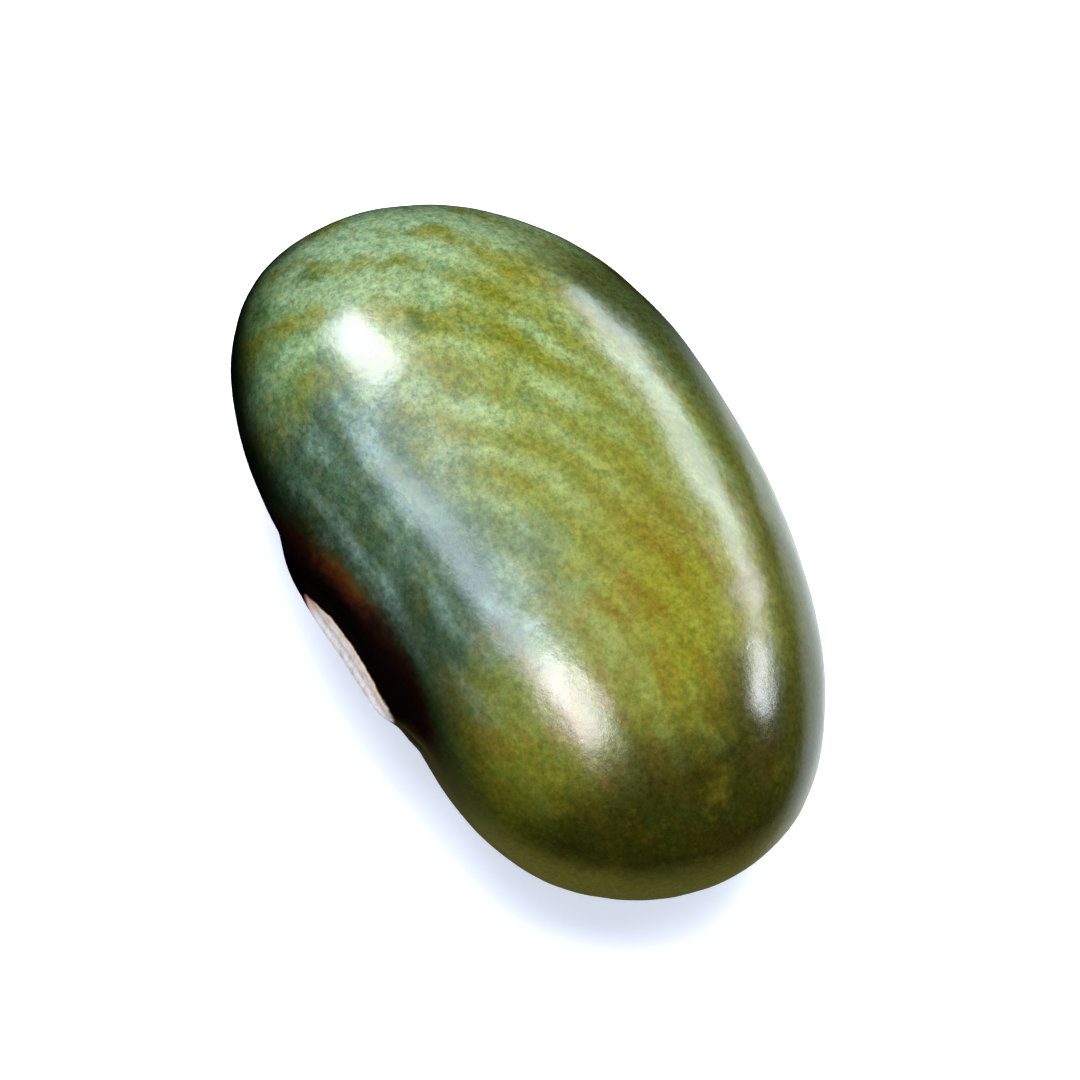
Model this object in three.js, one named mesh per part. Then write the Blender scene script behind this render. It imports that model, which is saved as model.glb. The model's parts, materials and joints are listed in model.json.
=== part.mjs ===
import * as THREE from 'three';
import { mergeVertices } from 'three/addons/utils/BufferGeometryUtils.js';

// One dry seed of a green kidney bean, lying on its flatter side on a level surface.
// Millimetres, +Z up. +X runs along the seed, and its hollowed belly, with the pale scar
// where it was joined to the pod, faces -Y.

// Driving dimensions of the seed
const SEED_LENGTH = 15.43;
const SEED_BREADTH = 9.21;
const SEED_THICKNESS = 6.8;

// Outline: how blunt the ends are (2 is an ellipse), and how far the seed bends
const BACK_BLUNTNESS = 2.34;
const BELLY_BLUNTNESS = 2.69;
const SIDE_BLUNTNESS = 2.5;
const ENDS_BEND_TO_BELLY = 0.36;
const SLANT_OF_ENDS = 0.74;

// Cross-section: how much fuller it is than an ellipse, half way between its axes
const CORNER_FULLNESS = 0.032;

// Hollow of the belly; places along the seed are shares of its half length
const HOLLOW_DEPTH = 0.52;
const HOLLOW_PLACE = 0.09;
const HOLLOW_REACH = 0.44;
const HOLLOW_FADE_TO_BACK = 3;

// Low mound that carries the dark ring round the scar
const MOUND_HEIGHT = 0.35;
const MOUND_PLACE = -0.48;
const MOUND_HALF_LENGTH = 2.25;
const MOUND_HALF_WIDTH = 1.35;
const MOUND_EDGE = [0.7, 1.24];

// Scar: an oval pad with a groove along its middle
const SCAR_HEIGHT = 0.1;
const SCAR_PLACE = -0.1;
const SCAR_HALF_LENGTH = 1.7;
const SCAR_HALF_WIDTH = 0.6;
const SCAR_EDGE = [0.86, 1.12];
const GROOVE_DEPTH = 0.08;
const GROOVE_HALF_WIDTH = 0.13;
const GROOVE_SHARE_OF_SCAR = 0.85;

// Pore at one end of the scar, and the small double bump at its other end
const PORE_GAP = 0.22;
const PORE_DEPTH = 0.1;
const PORE_RADIUS = 0.2;
const BUMP_GAP = 0.42;
const BUMP_HEIGHT = 0.1;
const BUMP_RADIUS = 0.3;
const BUMP_HALF_SPREAD = 0.24;

// How the seed lies: rolled so that its belly turns a little upwards, on three low points of
// its coat, the first one on the belly's side, round the middle of a small flat spot
const ROLL = THREE.MathUtils.degToRad(5);
const FLAT_SPOT_DEPTH = 0.1;
const LOW_POINT_HEIGHT = 0.1;
const LOW_POINT_REACH_ALONG = 2.2;
const LOW_POINT_REACH_ACROSS = 1.6;
const LOW_POINT_COUNT = 3;

// Faces: cells along the seed and round each quarter, gathered towards the scar
const CELLS_ALONG = 42;
const CELLS_ROUND = 22;
const GATHER_ALONG = 0.45;
const GATHER_ROUND = 0.55;

const HALF_LENGTH = SEED_LENGTH / 2;

function bell(distance, reach) {
  return Math.exp(-((distance / reach) ** 2));
}

// 1 inside an oval, 0 outside it, with a soft edge between two shares of its size
function ovalPad(x, z, halfLength, halfWidth, edge) {
  const share = Math.hypot(x / halfLength, z / halfWidth);
  return 1 - THREE.MathUtils.smoothstep(share, edge[0], edge[1]);
}

// How far the surface stands out of the belly round the scar
function scarRelief(x, z) {
  const alongMound = x - MOUND_PLACE;
  const alongScar = x - SCAR_PLACE;
  const groovePad = ovalPad(
    alongScar / GROOVE_SHARE_OF_SCAR, z, SCAR_HALF_LENGTH, SCAR_HALF_WIDTH, SCAR_EDGE,
  );
  const fromPore = Math.hypot(alongScar + SCAR_HALF_LENGTH + PORE_GAP, z);
  const alongBump = alongScar - SCAR_HALF_LENGTH - BUMP_GAP;
  const fromBump = Math.hypot(alongBump, Math.abs(z) - BUMP_HALF_SPREAD);
  const mound = MOUND_HEIGHT
    * ovalPad(alongMound, z, MOUND_HALF_LENGTH, MOUND_HALF_WIDTH, MOUND_EDGE);
  const scar = SCAR_HEIGHT * ovalPad(alongScar, z, SCAR_HALF_LENGTH, SCAR_HALF_WIDTH, SCAR_EDGE);
  const groove = GROOVE_DEPTH * bell(z, GROOVE_HALF_WIDTH) * groovePad;
  const pore = PORE_DEPTH * bell(fromPore, PORE_RADIUS);
  const bump = BUMP_HEIGHT * bell(fromBump, BUMP_RADIUS);
  return mound + scar - groove - pore + bump;
}

// Point of the seed's surface: lengthwise angle from end to end, and angle round from the back
function seedPoint(lengthwise, round) {
  const along = Math.sin(lengthwise);
  const taper = (bluntness) => Math.sqrt(Math.max(0, 1 - Math.abs(along) ** bluntness));
  const toBack = Math.cos(round);
  const toTop = Math.sin(round);
  const fullness = 1 + CORNER_FULLNESS * Math.sin(2 * round) ** 2;
  const backHalf = SEED_BREADTH / 2 * taper(BACK_BLUNTNESS);
  const bellyHalf = SEED_BREADTH / 2 * taper(BELLY_BLUNTNESS);
  const half = THREE.MathUtils.lerp(bellyHalf, backHalf, (1 + toBack) / 2);
  const middle = SLANT_OF_ENDS * (along ** 3 - along) - ENDS_BEND_TO_BELLY * along ** 2;
  const fade = ((1 - toBack) / 2) ** HOLLOW_FADE_TO_BACK;
  const hollow = HOLLOW_DEPTH * bell(along - HOLLOW_PLACE, HOLLOW_REACH) * fade;
  const x = HALF_LENGTH * along;
  const z = SEED_THICKNESS / 2 * taper(SIDE_BLUNTNESS) * fullness * toTop;
  const relief = toBack < 0 ? scarRelief(x, z) : 0;
  const y = middle + half * fullness * toBack + hollow - relief;
  return new THREE.Vector3(x, y, z);
}

// A ball without poles: a divided box whose points are moved onto the seed
function seedGeometry() {
  const box = new THREE.BoxGeometry(2, 2, 2, CELLS_ALONG, CELLS_ROUND, CELLS_ROUND);
  box.deleteAttribute('normal');
  box.deleteAttribute('uv');
  const geometry = mergeVertices(box);
  const points = geometry.getAttribute('position');
  const even = (share) => Math.tan(share * Math.PI / 4);
  for (let i = 0; i < points.count; i += 1) {
    const direction = new THREE.Vector3(even(points.getX(i)), even(points.getY(i)), even(points.getZ(i)));
    direction.normalize();
    const evenLengthwise = Math.asin(direction.x);
    const evenRound = Math.atan2(direction.z, direction.y);
    const lengthwise = evenLengthwise - GATHER_ALONG / 2 * Math.sin(2 * evenLengthwise);
    const round = evenRound + GATHER_ROUND * Math.sin(evenRound);
    const point = seedPoint(lengthwise, round);
    points.setXYZ(i, point.x, point.y, point.z);
  }
  geometry.rotateX(-ROLL);
  return geometry;
}

// Number of the point on the seed's underside that is nearest to a place
function undersidePoint(points, x, y) {
  let nearest = 0;
  let shortest = Infinity;
  for (let i = 0; i < points.count; i += 1) {
    const away = Math.hypot(points.getX(i) - x, points.getY(i) - y);
    if (away < shortest && points.getZ(i) < SEED_THICKNESS / 4) {
      nearest = i;
      shortest = away;
    }
  }
  return nearest;
}

// The underside gets a flat spot and the low points, and the seed stands on these over the origin
function rest(geometry) {
  const points = geometry.getAttribute('position');
  geometry.computeBoundingBox();
  const box = geometry.boundingBox;
  const flat = box.min.z + FLAT_SPOT_DEPTH;
  for (let i = 0; i < points.count; i += 1) {
    points.setZ(i, Math.max(points.getZ(i), flat));
  }
  const middleX = (box.min.x + box.max.x) / 2;
  const middleY = (box.min.y + box.max.y) / 2;
  geometry.translate(-middleX, -middleY, LOW_POINT_HEIGHT - flat);
  for (let i = 0; i < LOW_POINT_COUNT; i += 1) {
    const turn = 2 * Math.PI * i / LOW_POINT_COUNT;
    const x = LOW_POINT_REACH_ALONG * Math.sin(turn);
    const y = -LOW_POINT_REACH_ACROSS * Math.cos(turn);
    points.setZ(undersidePoint(points, x, y), 0);
  }
  geometry.computeVertexNormals();
  return geometry;
}

const seedCoat = new THREE.MeshStandardMaterial({ color: 0x5f6a2c, roughness: 0.35, metalness: 0 });
const bean = new THREE.Mesh(rest(seedGeometry()), seedCoat);
bean.name = 'bean';

const part = new THREE.Group();
part.add(bean);

export default part;
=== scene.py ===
import json
import math
from types import SimpleNamespace

import bpy
from mathutils import Euler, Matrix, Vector

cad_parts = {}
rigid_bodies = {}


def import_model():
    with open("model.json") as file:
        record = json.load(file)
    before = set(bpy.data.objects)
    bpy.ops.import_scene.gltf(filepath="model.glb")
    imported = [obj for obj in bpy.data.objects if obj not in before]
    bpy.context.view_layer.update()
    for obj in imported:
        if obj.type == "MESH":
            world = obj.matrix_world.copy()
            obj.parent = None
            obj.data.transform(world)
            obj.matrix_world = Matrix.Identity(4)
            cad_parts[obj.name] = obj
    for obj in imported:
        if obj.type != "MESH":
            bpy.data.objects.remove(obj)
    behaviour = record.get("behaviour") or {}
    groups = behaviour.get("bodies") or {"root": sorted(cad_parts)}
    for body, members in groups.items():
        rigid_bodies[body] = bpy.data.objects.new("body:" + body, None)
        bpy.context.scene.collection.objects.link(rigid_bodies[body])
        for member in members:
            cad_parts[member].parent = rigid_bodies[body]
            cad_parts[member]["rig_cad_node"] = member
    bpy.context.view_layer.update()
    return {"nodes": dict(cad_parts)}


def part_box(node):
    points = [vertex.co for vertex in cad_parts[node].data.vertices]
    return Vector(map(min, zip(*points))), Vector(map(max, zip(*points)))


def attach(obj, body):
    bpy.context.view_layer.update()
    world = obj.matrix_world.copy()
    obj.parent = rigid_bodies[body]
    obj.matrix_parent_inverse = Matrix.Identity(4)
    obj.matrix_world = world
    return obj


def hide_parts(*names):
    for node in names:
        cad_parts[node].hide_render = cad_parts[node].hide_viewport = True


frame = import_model()

# One dry seed of a green kidney bean: a glossy mottled green coat, and on its hollowed side a
# pale scar in a dark ring. The scene is in metres. Places on the seed are in millimetres from
# its middle: x along it, y from its hollowed belly to its back, z up, before its small roll.
MM = 0.001
BEAN_LOW, BEAN_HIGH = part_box("bean")
BEAN_MIDDLE = (BEAN_LOW + BEAN_HIGH) / 2
BEAN_ROLL = math.radians(5)
UNROLL = Euler((BEAN_ROLL, 0, 0)).to_matrix()

# Camera of the photograph: where it stands, in degrees and metres, and what its middle shows.
# The scene's own camera stands there too, with a longer lens, in millimetres
PHOTO_AZIMUTH = 56.05
PHOTO_ELEVATION = 68
PHOTO_DISTANCE = 0.16119
PHOTO_AIM = Vector((-0.01196, -0.00047, 0.0034))
CLOSER_LENS = 270
SENSOR_WIDTH = 36

# Lamps, floor and the card on it: sizes and places in metres
LAMP_AWAY = 0.3
AIR_BRIGHTNESS = 0.55
FLOOR_SIZE = 0.6
FLOOR_GLOW = 0.5
CARD_GLOW = 0.35
CARD_SIZE = 0.06
CARD_HEIGHT = 0.0001
CARD_BACK_PATCH = Vector((0.006, 0.01, 0))
CARD_NEAR_PATCH = Vector((0.009, -0.002, 0))
CARD_PATCH_REACH = 0.012

# Height up to which the underside is rounded, in metres, and how many times it is smoothed
UNDERSIDE_TOP = 0.25 * MM
UNDERSIDE_SMOOTHINGS = 40

# Scar, its dark ring and what lies at the scar's two ends
RING_PLACE = -0.1
RING_HALF_LENGTH = 2.72
RING_HALF_WIDTH = 1.3
SCAR_PLACE = 0.02
SCAR_HALF_LENGTH = 1.54
SCAR_HALF_WIDTH = 0.56
PORE_PLACE = -2.02
PORE_RADIUS = 0.13
BUMP_PLACE = 2.02
BUMP_SPREAD = 0.24
BUMP_HALF_SIZES = (0.3, 0, 0.2)
GLOW_PLACE = -1.0

# Finger-print bands of the coat: they run round a point below the hollow, stretched lengthwise
BAND_CENTRE = Vector((4, -2.6, 0))
BAND_STRETCH = Vector((0.5, 1, 0.35))
BAND_SPACING = 0.68
BAND_WANDER = 0.9

# Yellow zone of the coat
YELLOW_MIDDLE = (3.0, 0.6, 1.0)
YELLOW_HALF_SIZES = (4.6, 3.0, 4.0)

# Gloss of the coat, from 0 for a mirror to 1 for matt, how much duller the scar is, and how deep
# the coat's fine pits are, in metres
COAT_DULLNESS = 0.17
SCAR_DULLNESS = 0.5
PIT_DEPTH = 0.008 * MM

# Colours of the coat's zones, bands, streaks, blotches, stains and flecks
COAT_OLIVE = "6b7436"
COAT_OCHRE = "706c10"
FAR_END_SAGE = "819b80"
FAR_BELLY_GREEN = "587344"
BELLY_SLATE = "486058"
LOW_BELLY_OLIVE = "5e600e"
NEAR_END_DARK = "2e2f03"
BAND_STRAW = "646410"
BAND_OCHRE = "665e0c"
BAND_SAGE = "84966a"
BAND_GREY_GREEN = "829a78"
BAND_MUSTARD = "7e7e18"
STREAK_PALE = "8ba39a"
STREAK_DARK = "2c3f22"
BLOTCH_TEAL = "5a7c60"
BLOTCH_STRAW = "6c6414"
BLOTCH_DEEP = "2c4a1c"
STAIN_RUST = "6a4a08"
STAIN_BROWN = "422604"
FLECK_GREEN = "34602f"
FLECK_OLIVE = "807c3a"

# Colours of the painted shade low on the flanks, down the back and on the far end's rim, and of the
# painted reflected light on the rim round the near end
BACK_PAINTED_SHADE_OLIVE = "454814"
BACK_PAINTED_SHADE_GREEN = "24301a"
LOW_FLANK_PAINTED_SHADE = "1a2408"
BELLY_FLANK_PAINTED_SHADE = "0c1a08"
FAR_RIM_PAINTED_SHADE = "060c04"
NEAR_RIM_PAINTED_REFLECTION = "6c6a10"

# Colours of the ring, whose dark brown is deepened by painted shade, of the painted shade and the
# darker border round it, and of the scar
RING_PAINTED_SHADE = "1e2a10"
RING_BORDER_GREEN = "1c240c"
RING_FRINGE = "1c0a03"
RING_DARK_BROWN_AND_SHADE = "0d0502"
GLOW_RUST = "3c1a03"
GLOW_GOLD = "48380a"
PAD_CREAM = "e0d0bc"
PAD_PALE = "fbf5ec"
PAD_TAN = "c8a478"
PAD_TIP = "d8875c"
PAD_RIM = "7a6a60"
PAD_GROOVE = "b09878"
PORE_BLACK = "020100"
BUMP_BROWN = "2a1608"

# Colours of the floor, of the card on it and of the air
FLOOR_PALE = "e4e8f0"
CARD_BLACK = "000000"
CARD_TAN = "747048"
CARD_PALE = "ccd4d4"
AIR_BLUE = "c8d2ea"


def linear(channel):
    """Light of one screen colour channel, both from 0 to 1."""
    if channel <= 0.04045:
        return channel / 12.92
    return ((channel + 0.055) / 1.055) ** 2.4


def colour(code):
    """Scene colour of a six-digit screen colour."""
    parts = [int(code[i:i + 2], 16) / 255 for i in (0, 2, 4)]
    return (*[linear(part) for part in parts], 1)


def direction(azimuth, elevation):
    """Unit vector towards a compass direction from +X and a height above the floor, in degrees."""
    a = math.radians(azimuth)
    e = math.radians(elevation)
    return Vector((math.cos(a) * math.cos(e), math.sin(a) * math.cos(e), math.sin(e)))


class Recipe:
    """Adds and joins the nodes of one material. A value is a number, or a node's output."""

    def __init__(self, material, clear=True):
        material.use_nodes = True
        self.nodes = material.node_tree.nodes
        self.links = material.node_tree.links
        if clear:
            self.nodes.clear()

    def feed(self, socket, value):
        if isinstance(value, bpy.types.NodeSocket):
            self.links.new(value, socket)
        else:
            socket.default_value = value

    def sums(self, operation, *values):
        node = self.nodes.new("ShaderNodeMath")
        node.operation = operation
        for socket, value in zip(node.inputs, values):
            self.feed(socket, value)
        return node.outputs[0]

    def ease(self, value, start, end):
        """0 before start and 1 after end, with a soft step between; end may be below start."""
        node = self.nodes.new("ShaderNodeMapRange")
        node.interpolation_type = "SMOOTHSTEP"
        rising = start < end
        self.feed(node.inputs["Value"], value)
        node.inputs["From Min"].default_value = min(start, end)
        node.inputs["From Max"].default_value = max(start, end)
        node.inputs["To Min"].default_value = 0 if rising else 1
        node.inputs["To Max"].default_value = 1 if rising else 0
        return node.outputs["Result"]

    def place(self, vector, centre=(0, 0, 0), stretch=(1, 1, 1)):
        """The vector from a centre, with each of its parts multiplied."""
        node = self.nodes.new("ShaderNodeMapping")
        self.feed(node.inputs["Vector"], vector)
        node.inputs["Location"].default_value = [-c * s for c, s in zip(centre, stretch)]
        node.inputs["Scale"].default_value = stretch
        return node.outputs[0]

    def reach(self, vector, centre, half_sizes):
        """Distance from a centre, 1 on the oval with these half sizes."""
        node = self.nodes.new("ShaderNodeVectorMath")
        node.operation = "LENGTH"
        stretch = [1 / half if half else 0 for half in half_sizes]
        self.feed(node.inputs[0], self.place(vector, centre, stretch))
        return node.outputs["Value"]

    def noise(self, vector, per_mm, detail=2.0, rough=0.5, bend=0.0):
        """Cloudy pattern from about 0.2 to 0.8."""
        node = self.nodes.new("ShaderNodeTexNoise")
        self.feed(node.inputs["Vector"], vector)
        node.inputs["Scale"].default_value = per_mm
        node.inputs["Detail"].default_value = detail
        node.inputs["Roughness"].default_value = rough
        node.inputs["Distortion"].default_value = bend
        return node.outputs[0]

    def wander(self, value, vector, per_mm, size):
        """The value, pushed up and down by a cloudy pattern."""
        cloud = self.sums("SUBTRACT", self.noise(vector, per_mm), 0.5)
        return self.sums("MULTIPLY_ADD", cloud, size, value)

    def blend(self, share, first, second, mode="MIX"):
        node = self.nodes.new("ShaderNodeMix")
        node.data_type = "RGBA"
        node.blend_type = mode
        self.feed(node.inputs["Factor"], share)
        self.feed(node.inputs[6], first)
        self.feed(node.inputs[7], second)
        return node.outputs[2]

    def both(self, first, second):
        return self.sums("MULTIPLY", first, second)

    def outside(self, zone, share):
        """1 outside a zone, and less than 1 by this share in it."""
        return self.sums("SUBTRACT", 1, self.both(zone, share))

    def tint(self, base, zone, share, code):
        """The base colour, tinted in a zone by this share of another colour."""
        return self.blend(self.both(zone, share), base, colour(code))


def seed_places(recipe):
    """Places on the seed in millimetres, with its roll taken off."""
    start = recipe.nodes.new("ShaderNodeTexCoord").outputs["Object"]
    node = recipe.nodes.new("ShaderNodeMapping")
    recipe.feed(node.inputs["Vector"], start)
    node.inputs["Location"].default_value = -(UNROLL @ BEAN_MIDDLE) / MM
    node.inputs["Rotation"].default_value = (BEAN_ROLL, 0, 0)
    node.inputs["Scale"].default_value = (1 / MM,) * 3
    parts = recipe.nodes.new("ShaderNodeSeparateXYZ")
    recipe.feed(parts.inputs[0], node.outputs[0])
    return node.outputs[0], parts.outputs[0], parts.outputs[1], parts.outputs[2]


def coat_zones(recipe, seed, x, y):
    """Shares, from 0 to 1, of the coat's broad zones. Their edges wander."""
    edge_x = recipe.wander(x, seed, 0.45, 3.0)
    edge_y = recipe.wander(y, recipe.place(seed, (3, 9, 5)), 0.45, 2.6)
    belly_side = recipe.both(recipe.ease(edge_y, -0.6, -2.8), recipe.ease(edge_x, 3.8, 1.2))
    yellow_reach = recipe.reach(seed, YELLOW_MIDDLE, YELLOW_HALF_SIZES)
    near_end = recipe.ease(edge_x, 4.0, 6.0)
    return SimpleNamespace(
        edge_x=edge_x,
        far_end=recipe.ease(edge_x, -3.6, -6.4),
        near_end=near_end,
        belly_side=recipe.both(belly_side, recipe.ease(edge_x, -5.2, -3.2)),
        far_belly=recipe.both(recipe.ease(edge_y, -0.4, -2.4), recipe.ease(edge_x, -3.0, -5.0)),
        low_belly=recipe.both(recipe.ease(edge_y, -0.8, -2.8), recipe.ease(edge_x, 1.6, 3.4)),
        yellow=recipe.ease(recipe.wander(yellow_reach, seed, 0.5, 0.7), 1.05, 0.35),
        mottled=recipe.outside(near_end, 0.93),
        lively=recipe.ease(x, 1.5, -3.0),
    )


def broad_colours(recipe, zones):
    base = recipe.tint(colour(COAT_OLIVE), zones.far_end, 0.7, FAR_END_SAGE)
    base = recipe.tint(base, zones.yellow, 0.85, COAT_OCHRE)
    base = recipe.tint(base, zones.far_belly, 0.75, FAR_BELLY_GREEN)
    base = recipe.tint(base, zones.belly_side, 0.85, BELLY_SLATE)
    base = recipe.tint(base, zones.low_belly, 0.85, LOW_BELLY_OLIVE)
    return recipe.tint(base, zones.near_end, 0.95, NEAR_END_DARK)


def add_bands(recipe, base, seed, zones):
    """Bands round the hollow, straw between grey green, broken and wandering."""
    ripples = recipe.nodes.new("ShaderNodeVectorMath")
    ripples.operation = "LENGTH"
    recipe.feed(ripples.inputs[0], recipe.place(seed, BAND_CENTRE, BAND_STRETCH))
    ripple = recipe.wander(ripples.outputs["Value"], seed, 0.42, BAND_WANDER)
    ripple = recipe.wander(ripple, seed, 1.5, 0.3)
    wave = recipe.sums("SINE", recipe.both(ripple, 2 * math.pi / BAND_SPACING))
    cloud = recipe.noise(recipe.place(seed, (7, 2, 1), (0.8, 1, 1)), 1.0, 4, 0.62)
    cloud = recipe.sums("MULTIPLY_ADD", cloud, 3.0, -1.5)
    marbling = recipe.sums("MULTIPLY_ADD", wave, 0.55, cloud)
    straw = recipe.blend(zones.yellow, colour(BAND_STRAW), colour(BAND_OCHRE))
    grey = recipe.blend(zones.far_end, colour(BAND_SAGE), colour(BAND_GREY_GREEN))
    grey = recipe.blend(zones.yellow, grey, colour(BAND_MUSTARD))
    banded = recipe.both(zones.mottled, recipe.outside(zones.belly_side, 0.6))
    banded = recipe.both(banded, recipe.outside(zones.low_belly, 0.7))
    share = recipe.both(banded, recipe.sums("MULTIPLY_ADD", zones.lively, 0.25, 0.49))
    base = recipe.blend(recipe.both(recipe.ease(marbling, 0.0, 0.8), share), base, straw)
    return recipe.blend(recipe.both(recipe.ease(marbling, 0.0, -1.1), share), base, grey)


def add_belly_streaks(recipe, base, seed, zones):
    """Pale and dark streaks along the belly's side."""
    streak = recipe.noise(recipe.place(seed, (2, 5, 6), (0.6, 1.3, 1.3)), 1.15, 3, 0.5)
    pale = recipe.both(recipe.ease(streak, 0.48, 0.68), zones.belly_side)
    dark = recipe.both(recipe.ease(streak, 0.52, 0.36), zones.belly_side)
    base = recipe.tint(base, pale, 0.4, STREAK_PALE)
    return recipe.tint(base, dark, 0.6, STREAK_DARK)


def add_blotches(recipe, base, seed, x, y, zones):
    """Blotches of teal and of straw a millimetre or so across, and deep green at the far end."""
    blotch = recipe.noise(recipe.place(seed, (1, 8, 3)), 0.85, 3, 0.6)
    teal = recipe.both(recipe.ease(blotch, 0.56, 0.72), zones.mottled)
    teal = recipe.both(teal, recipe.outside(zones.yellow, 0.7))
    teal = recipe.both(teal, recipe.ease(x, 4.5, 2.5))
    deep = recipe.noise(recipe.place(seed, (5, 1, 9)), 1.0, 4, 0.6)
    deep = recipe.both(recipe.ease(deep, 0.52, 0.7), recipe.ease(x, -2.2, -4.2))
    deep = recipe.both(deep, recipe.ease(y, 0.8, -0.6))
    base = recipe.tint(base, teal, 0.32, BLOTCH_TEAL)
    base = recipe.tint(base, recipe.ease(blotch, 0.44, 0.3), 0.3, BLOTCH_STRAW)
    return recipe.tint(base, deep, 0.6, BLOTCH_DEEP)


def add_stains(recipe, base, seed, x, zones):
    """Rust stains in the yellow part, and brown ones in the near end."""
    rust = recipe.noise(recipe.place(seed, (6, 3, 2), (0.6, 1.4, 1)), 1.1, 3, 0.55)
    rust = recipe.both(recipe.ease(rust, 0.48, 0.62), recipe.ease(x, 0.5, 2.5))
    rust = recipe.both(rust, recipe.outside(zones.near_end, 0.75))
    brown = recipe.noise(recipe.place(seed, (3, 3, 8)), 0.7, 3, 0.5)
    brown = recipe.both(recipe.ease(brown, 0.46, 0.62), zones.near_end)
    base = recipe.tint(base, rust, 0.34, STAIN_RUST)
    return recipe.tint(base, brown, 0.25, STAIN_BROWN)


def add_flecks(recipe, base, seed, zones):
    """Green and olive flecks a fifth of a millimetre across."""
    fleck = recipe.noise(recipe.place(seed, (4, 4, 4)), 4.5, 4, 0.7)
    quiet_end = recipe.outside(zones.near_end, 0.7)
    green = recipe.both(recipe.ease(fleck, 0.52, 0.7), quiet_end)
    olive = recipe.both(recipe.ease(fleck, 0.48, 0.32), quiet_end)
    olive = recipe.both(olive, recipe.outside(zones.belly_side, 0.7))
    share = recipe.sums("MULTIPLY_ADD", zones.lively, 0.14, 0.28)
    base = recipe.tint(base, green, share, FLECK_GREEN)
    return recipe.tint(base, olive, share, FLECK_OLIVE)


def paint_flank_shade_and_rim_light(recipe, base, seed, x, y, z, zones):
    """Painted shade low on the flanks, down the back and on the far end's low rim, and a yellowish
    rim round the near end that is painted reflected light.
    """
    # Painted shade: darker low on the flanks, and darkest low on the belly side
    low_flank_shade = recipe.both(recipe.ease(recipe.wander(z, seed, 0.5, 1.2), 2.4, -0.4),
                      recipe.ease(zones.edge_x, 7.2, 3.2))
    belly = recipe.both(low_flank_shade, recipe.ease(y, 1.5, -2.5))
    # Painted shade: darker further down the back flank and towards the ends, less so at the far end
    down_back = recipe.sums("MULTIPLY_ADD", z, -0.8, y)
    down_back = recipe.sums("MULTIPLY_ADD", recipe.sums("ABSOLUTE", x), 0.25, down_back)
    back = recipe.ease(recipe.wander(down_back, seed, 0.6, 0.6), 0.7, 1.9)
    back = recipe.both(back, recipe.outside(recipe.ease(x, -3.2, -5.2), 0.7))
    back_shade_colour = recipe.blend(recipe.ease(x, 1.5, -2.5), colour(BACK_PAINTED_SHADE_OLIVE), colour(BACK_PAINTED_SHADE_GREEN))
    # Painted shade: near black low on the rim of the far end's belly side
    far_rim_shade = recipe.both(recipe.ease(z, 1.4, 0.3), recipe.ease(x, -1.5, -3.5))
    far_rim_shade = recipe.both(far_rim_shade, recipe.ease(y, 0.5, -1.0))
    # Painted reflected light: a lighter yellowish rim low round the near end
    near_rim_reflection = recipe.both(recipe.ease(z, 1.1, 0.1), recipe.ease(zones.edge_x, 3.2, 6.4))
    base = recipe.blend(recipe.both(back, 0.75), base, back_shade_colour)
    base = recipe.tint(base, low_flank_shade, 0.55, LOW_FLANK_PAINTED_SHADE)
    base = recipe.tint(base, belly, 0.65, BELLY_FLANK_PAINTED_SHADE)
    base = recipe.tint(base, far_rim_shade, 0.85, FAR_RIM_PAINTED_SHADE)
    return recipe.tint(base, near_rim_reflection, 0.65, NEAR_RIM_PAINTED_REFLECTION)


def add_grain(recipe, base, seed, zones):
    """Light and dark grain, strongest at the far end."""
    grain = recipe.noise(seed, 7, 5, 0.85)
    grain = recipe.sums("SUBTRACT", recipe.ease(grain, 0.25, 0.75), 0.5)
    strength = recipe.sums("MULTIPLY_ADD", zones.lively, 0.28, 0.7)
    light = recipe.sums("MULTIPLY_ADD", grain, strength, 1.0)
    return recipe.blend(1.0, base, light, "MULTIPLY")


def coat_colour(recipe, seed, x, y, z):
    """Mottled green coat: broad zones, banded like a finger print, with a fine speckle, and painted
    shade and reflected light on its flanks.

    Each cloudy pattern starts from a place of its own, so that no two of them lie alike."""
    zones = coat_zones(recipe, seed, x, y)
    base = broad_colours(recipe, zones)
    base = add_bands(recipe, base, seed, zones)
    base = add_belly_streaks(recipe, base, seed, zones)
    base = add_blotches(recipe, base, seed, x, y, zones)
    base = add_stains(recipe, base, seed, x, zones)
    base = add_flecks(recipe, base, seed, zones)
    base = paint_flank_shade_and_rim_light(recipe, base, seed, x, y, z, zones)
    return add_grain(recipe, base, seed, zones)


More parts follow.
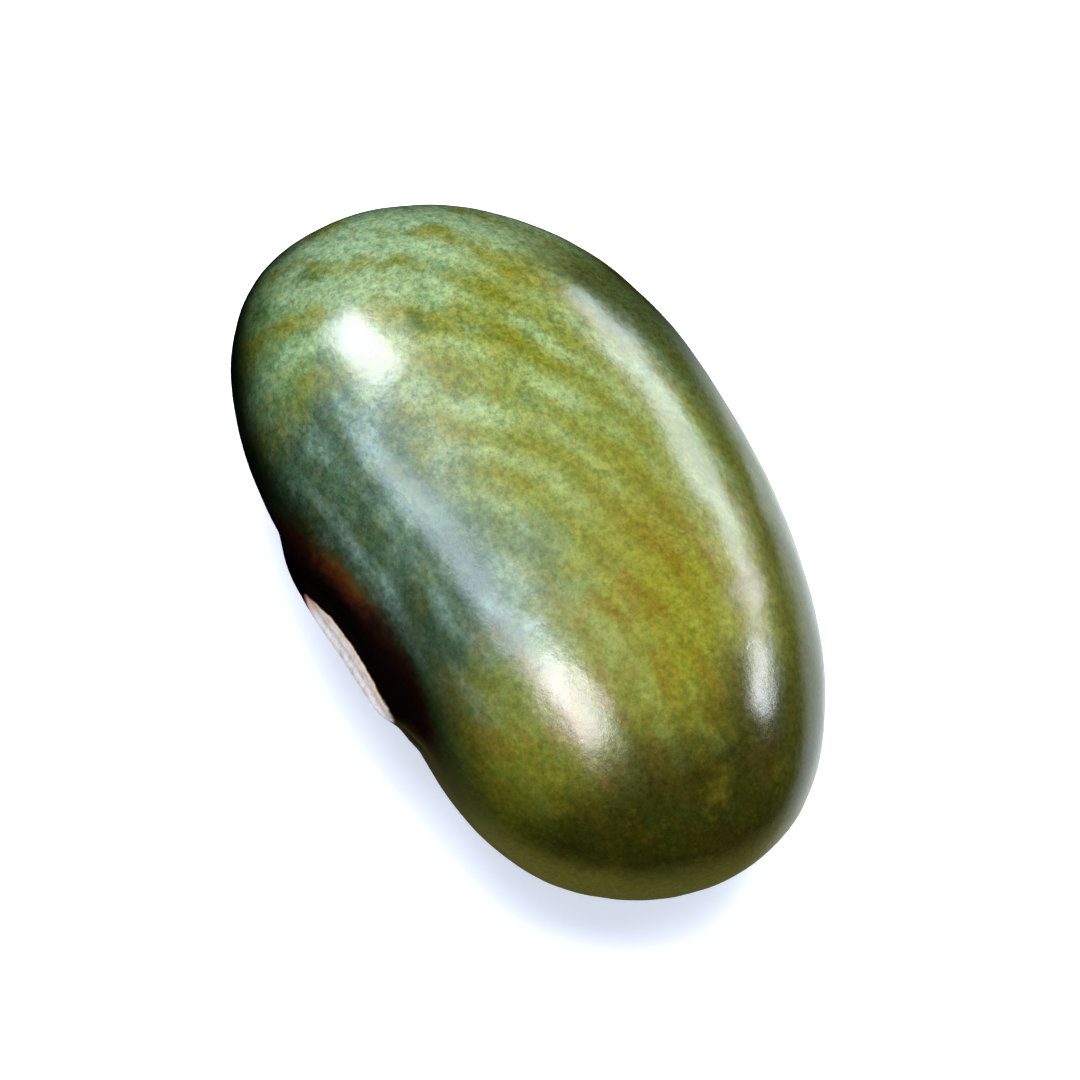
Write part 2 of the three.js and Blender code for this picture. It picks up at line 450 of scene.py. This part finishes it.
def ring_colours(recipe, coat, seed, x, belly):
    """The ring on the belly's coat, its dark brown deepened to near black as painted shade, with a
    golden glow on part of its edge, a darker green border round it and painted shade round its near
    side.
    """
    reach = recipe.reach(seed, (RING_PLACE, 0, 0), (RING_HALF_LENGTH, 0, RING_HALF_WIDTH))
    reach = recipe.wander(reach, seed, 1.1, 0.2)
    reach = recipe.wander(reach, seed, 7, 0.14)
    # Painted shade: deep green round the ring's near side on the belly
    shade = recipe.both(recipe.ease(reach, 2.4, 1.2), recipe.ease(x, -0.8, 1.2))
    shade = recipe.both(recipe.both(shade, belly), recipe.ease(x, 4.4, 2.4))
    # A darker green border just outside the ring on the belly
    ring_border = recipe.both(recipe.ease(reach, 1.5, 1.05), belly)
    fringe = recipe.both(recipe.ease(reach, 1.24, 0.96), belly)
    from_glow = recipe.sums("ABSOLUTE", recipe.sums("SUBTRACT", x, GLOW_PLACE))
    glow = recipe.ease(recipe.wander(from_glow, seed, 4, 1.2), 1.2, 0.3)
    glow = recipe.both(glow, recipe.both(recipe.ease(reach, 1.2, 1.06), belly))
    glow_colour = recipe.blend(recipe.ease(reach, 0.98, 1.14), colour(GLOW_RUST), colour(GLOW_GOLD))
    # The ring's own dark brown, deepened to near black as painted shade
    ring = recipe.both(recipe.ease(reach, 1.02, 0.8), belly)
    paint = recipe.tint(coat, shade, 0.6, RING_PAINTED_SHADE)
    paint = recipe.tint(paint, ring_border, 0.7, RING_BORDER_GREEN)
    paint = recipe.blend(fringe, paint, colour(RING_FRINGE))
    paint = recipe.blend(recipe.both(glow, 0.85), paint, glow_colour)
    return recipe.blend(ring, paint, colour(RING_DARK_BROWN_AND_SHADE))


def pad_colours(recipe, seed, x, z, reach):
    """The scar's fibrous pad: cream, tan towards its upper edge and orange at its far tip."""
    fibres = recipe.noise(recipe.place(seed, (0, 0, 0), (4, 1, 2)), 1.6, 4, 0.7)
    pad = recipe.blend(recipe.ease(fibres, 0.3, 0.6), colour(PAD_CREAM), colour(PAD_PALE))
    edge = recipe.both(recipe.ease(recipe.wander(reach, seed, 3, 0.3), 0.6, 0.95),
                       recipe.ease(z, -0.15, 0.25))
    groove = recipe.both(recipe.ease(recipe.sums("ABSOLUTE", z), 0.13, 0.03),
                         recipe.ease(reach, 0.9, 0.75))
    pad = recipe.tint(pad, edge, 0.6, PAD_TAN)
    pad = recipe.tint(pad, recipe.ease(x, -0.95, -1.45), 0.65, PAD_TIP)
    pad = recipe.tint(pad, recipe.ease(reach, 0.93, 0.99), 0.6, PAD_RIM)
    return recipe.tint(pad, groove, 0.2, PAD_GROOVE)


def scar_colours(recipe, coat, seed, x, y, z):
    """The scar in its dark ring, painted over the coat; also gives the share that is scar."""
    belly = recipe.ease(y, -0.9, -1.6)
    paint = ring_colours(recipe, coat, seed, x, belly)
    reach = recipe.reach(seed, (SCAR_PLACE, 0, 0), (SCAR_HALF_LENGTH, 0, SCAR_HALF_WIDTH))
    reach = recipe.wander(recipe.wander(reach, seed, 2.2, 0.16), seed, 9, 0.06)
    scar = recipe.both(recipe.ease(reach, 1.02, 0.94), belly)
    paint = recipe.blend(scar, paint, pad_colours(recipe, seed, x, z, reach))

    pore_reach = recipe.reach(seed, (PORE_PLACE, 0, 0), (PORE_RADIUS, 0, PORE_RADIUS))
    pore = recipe.both(recipe.ease(pore_reach, 1.3, 0.8), belly)
    paint = recipe.blend(pore, paint, colour(PORE_BLACK))
    for side in (-1, 1):
        place = (BUMP_PLACE, 0, side * BUMP_SPREAD)
        bump_reach = recipe.reach(seed, place, BUMP_HALF_SIZES)
        bump = recipe.both(recipe.ease(bump_reach, 1.3, 0.5), belly)
        paint = recipe.tint(paint, bump, 0.6, BUMP_BROWN)
    return paint, scar


def coat_material():
    material = bpy.data.materials.new("bean_coat_satin_green")
    recipe = Recipe(material)
    seed, x, y, z = seed_places(recipe)
    coat = coat_colour(recipe, seed, x, y, z)
    paint, scar = scar_colours(recipe, coat, seed, x, y, z)

    pits = recipe.noise(seed, 9, 3, 0.65)
    uneven = recipe.noise(seed, 1.4, 3, 0.55)
    bump = recipe.nodes.new("ShaderNodeBump")
    bump.inputs["Strength"].default_value = 0.4
    bump.inputs["Distance"].default_value = PIT_DEPTH
    recipe.feed(bump.inputs["Height"], recipe.sums("MULTIPLY_ADD", uneven, 1.6, pits))

    skin = recipe.nodes.new("ShaderNodeBsdfPrincipled")
    dull = recipe.sums("MULTIPLY_ADD", recipe.noise(seed, 7, 4, 0.7), 0.12, COAT_DULLNESS)
    rough = recipe.sums("MULTIPLY_ADD", scar, SCAR_DULLNESS, dull)
    recipe.feed(skin.inputs["Base Color"], paint)
    recipe.feed(skin.inputs["Roughness"], rough)
    recipe.feed(skin.inputs["Normal"], bump.outputs[0])
    skin.inputs["IOR"].default_value = 1.5
    out = recipe.nodes.new("ShaderNodeOutputMaterial")
    recipe.links.new(skin.outputs[0], out.inputs[0])
    return material


def pick_only(piece):
    bpy.ops.object.select_all(action="DESELECT")
    piece.select_set(True)
    bpy.context.view_layer.objects.active = piece


def finish_modifier(modifier):
    bpy.ops.object.modifier_apply(modifier=modifier.name)


def refine(skin, levels):
    """Rounds the facets off by dividing every face."""
    modifier = skin.modifiers.new("rounded", "SUBSURF")
    modifier.levels = levels
    modifier.render_levels = levels
    finish_modifier(modifier)


def soften_underside(skin):
    """Rounds the three small low points that the seed stands on."""
    for vertex in skin.data.vertices:
        vertex.select = vertex.co.z < UNDERSIDE_TOP
    bpy.ops.object.mode_set(mode="EDIT")
    bpy.ops.mesh.vertices_smooth(factor=0.5, repeat=UNDERSIDE_SMOOTHINGS)
    bpy.ops.object.mode_set(mode="OBJECT")


def weather(skin, name, grain, height, group=""):
    """Pushes the surface in and out by a cloudy pattern: its grain and height in millimetres."""
    cloud = bpy.data.textures.new(name, "CLOUDS")
    cloud.noise_scale = grain * MM
    cloud.noise_depth = 2
    modifier = skin.modifiers.new(name, "DISPLACE")
    modifier.texture = cloud
    modifier.texture_coords = "LOCAL"
    modifier.strength = height * MM
    modifier.mid_level = 0.5
    modifier.vertex_group = group
    finish_modifier(modifier)


def seed_place(point):
    """Place on the seed in millimetres of a point of the scene."""
    return UNROLL @ (point - BEAN_MIDDLE) / MM


def mark_scar(skin):
    """Vertex group of the scar's pad, for what is done to the pad alone."""
    group = skin.vertex_groups.new(name="scar")
    for vertex in skin.data.vertices:
        place = seed_place(vertex.co)
        reach = math.hypot((place.x - SCAR_PLACE) / SCAR_HALF_LENGTH, place.z / SCAR_HALF_WIDTH)
        if place.y < 0 and reach < 1:
            group.add([vertex.index], min(1, (1 - reach) * 6), "REPLACE")
    return group.name


def bean_skin():
    """Fine skin of the seed, made from a copy of its plain solid."""
    pick_only(frame["nodes"]["bean"])
    bpy.ops.object.duplicate()
    skin = bpy.context.active_object
    skin.name = "bean_coat"
    skin.data.name = "bean_coat"
    skin.parent = None
    del skin["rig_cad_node"]
    pick_only(skin)
    bpy.ops.object.mode_set(mode="EDIT")
    bpy.ops.mesh.select_all(action="SELECT")
    bpy.ops.mesh.remove_doubles(threshold=0.001 * MM)
    bpy.ops.mesh.tris_convert_to_quads(face_threshold=math.radians(60),
                                       shape_threshold=math.radians(60))
    bpy.ops.mesh.select_all(action="DESELECT")
    bpy.ops.object.mode_set(mode="OBJECT")
    refine(skin, 2)
    soften_underside(skin)
    scar = mark_scar(skin)
    weather(skin, "long swells", 2.6, 0.06)
    weather(skin, "dents", 1.3, 0.018)
    weather(skin, "ripples", 0.75, 0.014)
    weather(skin, "scar fibres", 0.16, 0.02, scar)
    bpy.ops.object.shade_smooth()
    skin.data.materials.clear()
    skin.data.materials.append(coat_material())
    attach(skin, "root")
    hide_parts("bean")
    return skin


def paper(name, shade, glow=0):
    """Matt material, which may glow a little."""
    material = bpy.data.materials.new(name)
    recipe = Recipe(material)
    surface = recipe.nodes.new("ShaderNodeBsdfPrincipled")
    surface.inputs["Base Color"].default_value = colour(shade)
    surface.inputs["Roughness"].default_value = 1
    surface.inputs["Specular IOR Level"].default_value = 0
    surface.inputs["Emission Color"].default_value = colour(shade)
    surface.inputs["Emission Strength"].default_value = glow
    out = recipe.nodes.new("ShaderNodeOutputMaterial")
    recipe.links.new(surface.outputs[0], out.inputs[0])
    return material


def add_floor():
    """Pale floor, lit a little from below like a light table, so that shadows on it stay faint.

    It throws no light back at the seed's flanks, which stay deep."""
    bpy.ops.mesh.primitive_plane_add(size=FLOOR_SIZE, location=(0, 0, 0))
    floor = bpy.context.active_object
    floor.name = "floor"
    floor.data.materials.append(paper("floor_pale", FLOOR_PALE, FLOOR_GLOW))
    floor.visible_diffuse = False
    floor.visible_glossy = False


def add_card():
    """Card on the floor round the seed, seen only in the seed's gloss.

    It is pale behind the seed's back and tan by its near end, and black further away."""
    bpy.ops.mesh.primitive_plane_add(size=CARD_SIZE, location=(0, 0, CARD_HEIGHT))
    card = bpy.context.active_object
    card.name = "floor_card"
    material = paper("floor_card", CARD_BLACK, CARD_GLOW)
    recipe = Recipe(material, clear=False)
    start = recipe.nodes.new("ShaderNodeTexCoord").outputs["Object"]
    reach = (CARD_PATCH_REACH, CARD_PATCH_REACH, 0)
    near = recipe.ease(recipe.reach(start, CARD_NEAR_PATCH, reach), 1.0, 0.4)
    back = recipe.ease(recipe.reach(start, CARD_BACK_PATCH, reach), 0.9, 0.45)
    shade = recipe.blend(near, colour(CARD_BLACK), colour(CARD_TAN))
    shade = recipe.blend(back, shade, colour(CARD_PALE))
    surface = recipe.nodes["Principled BSDF"]
    recipe.links.new(shade, surface.inputs["Base Color"])
    recipe.links.new(shade, surface.inputs["Emission Color"])
    card.data.materials.append(material)
    card.visible_camera = False
    card.visible_diffuse = False
    card.visible_shadow = False


def add_softbox(name, azimuth, elevation, wide, tall, radiance,
                tint="ffffff", tilt=0, gloss=True, fill=True):
    """A soft lamp round the seed: its direction and its width, height and tilt in degrees."""
    lamp = bpy.data.lights.new(name, "AREA")
    lamp.shape = "RECTANGLE"
    lamp.size = 2 * LAMP_AWAY * math.tan(math.radians(wide) / 2)
    lamp.size_y = 2 * LAMP_AWAY * math.tan(math.radians(tall) / 2)
    lamp.energy = radiance * math.pi * lamp.size * lamp.size_y
    lamp.color = colour(tint)[:3]
    box = bpy.data.objects.new(name, lamp)
    towards = direction(azimuth, elevation)
    box.location = BEAN_MIDDLE + towards * LAMP_AWAY
    box.rotation_euler = towards.to_track_quat("Z", "Y").to_euler()
    box.rotation_euler.rotate_axis("Z", math.radians(tilt))
    box.visible_camera = False
    box.visible_glossy = gloss
    box.visible_diffuse = fill
    bpy.context.scene.collection.objects.link(box)
    return lamp


def add_lights():
    add_softbox("key lamp", -173, 43, 18, 22, 21, tint="e6ecff", fill=False)
    add_softbox("key halo", -160, 52, 44, 40, 2.4, tint="dce8ff", fill=False)
    add_softbox("front lamp", -58, 71, 25, 20, 18, tint="f4eeff", tilt=-17, fill=False)
    add_softbox("belly stripe", -113, 61, 40, 14, 9, tint="dae4ff", tilt=56, fill=False)
    add_softbox("back stripe", 100, 16, 42, 17, 10, tint="dde6ff", tilt=-10, fill=False)
    add_softbox("back stripe middle", 77, 21, 14, 14, 5, tint="dde6ff", tilt=-13, fill=False)
    add_softbox("back stripe end", 61, 24, 16, 10, 23, tint="eaf0ff", tilt=-13, fill=False)
    add_softbox("scar fill", -95, 14, 26, 16, 5, gloss=False)
    add_softbox("overhead fill", 135, 74, 44, 44, 8.6, gloss=False)
    world = bpy.data.worlds.new("studio air")
    world.use_nodes = True
    air = world.node_tree.nodes["Background"]
    air.inputs["Color"].default_value = colour(AIR_BLUE)
    air.inputs["Strength"].default_value = AIR_BRIGHTNESS
    world.cycles_visibility.glossy = False
    bpy.context.scene.world = world


def add_camera():
    """Stands where the photograph was taken from, turned to the seed, with a longer lens."""
    photo_back = direction(PHOTO_AZIMUTH - 90, PHOTO_ELEVATION)
    stand = PHOTO_AIM + photo_back * PHOTO_DISTANCE
    seed_back = (stand - BEAN_MIDDLE).normalized()
    turn = photo_back.rotation_difference(seed_back) @ photo_back.to_track_quat("Z", "Y")
    lens = bpy.data.cameras.new("camera")
    lens.lens = CLOSER_LENS
    lens.sensor_width = SENSOR_WIDTH
    lens.clip_start = 0.01
    lens.clip_end = 2
    camera = bpy.data.objects.new("camera", lens)
    camera.location = stand
    camera.rotation_euler = turn.to_euler()
    bpy.context.scene.collection.objects.link(camera)
    bpy.context.scene.camera = camera
    bpy.context.scene.view_settings.view_transform = "Standard"
    bpy.context.scene.view_settings.look = "Medium High Contrast"


bean_skin()
add_floor()
add_card()
add_lights()
add_camera()
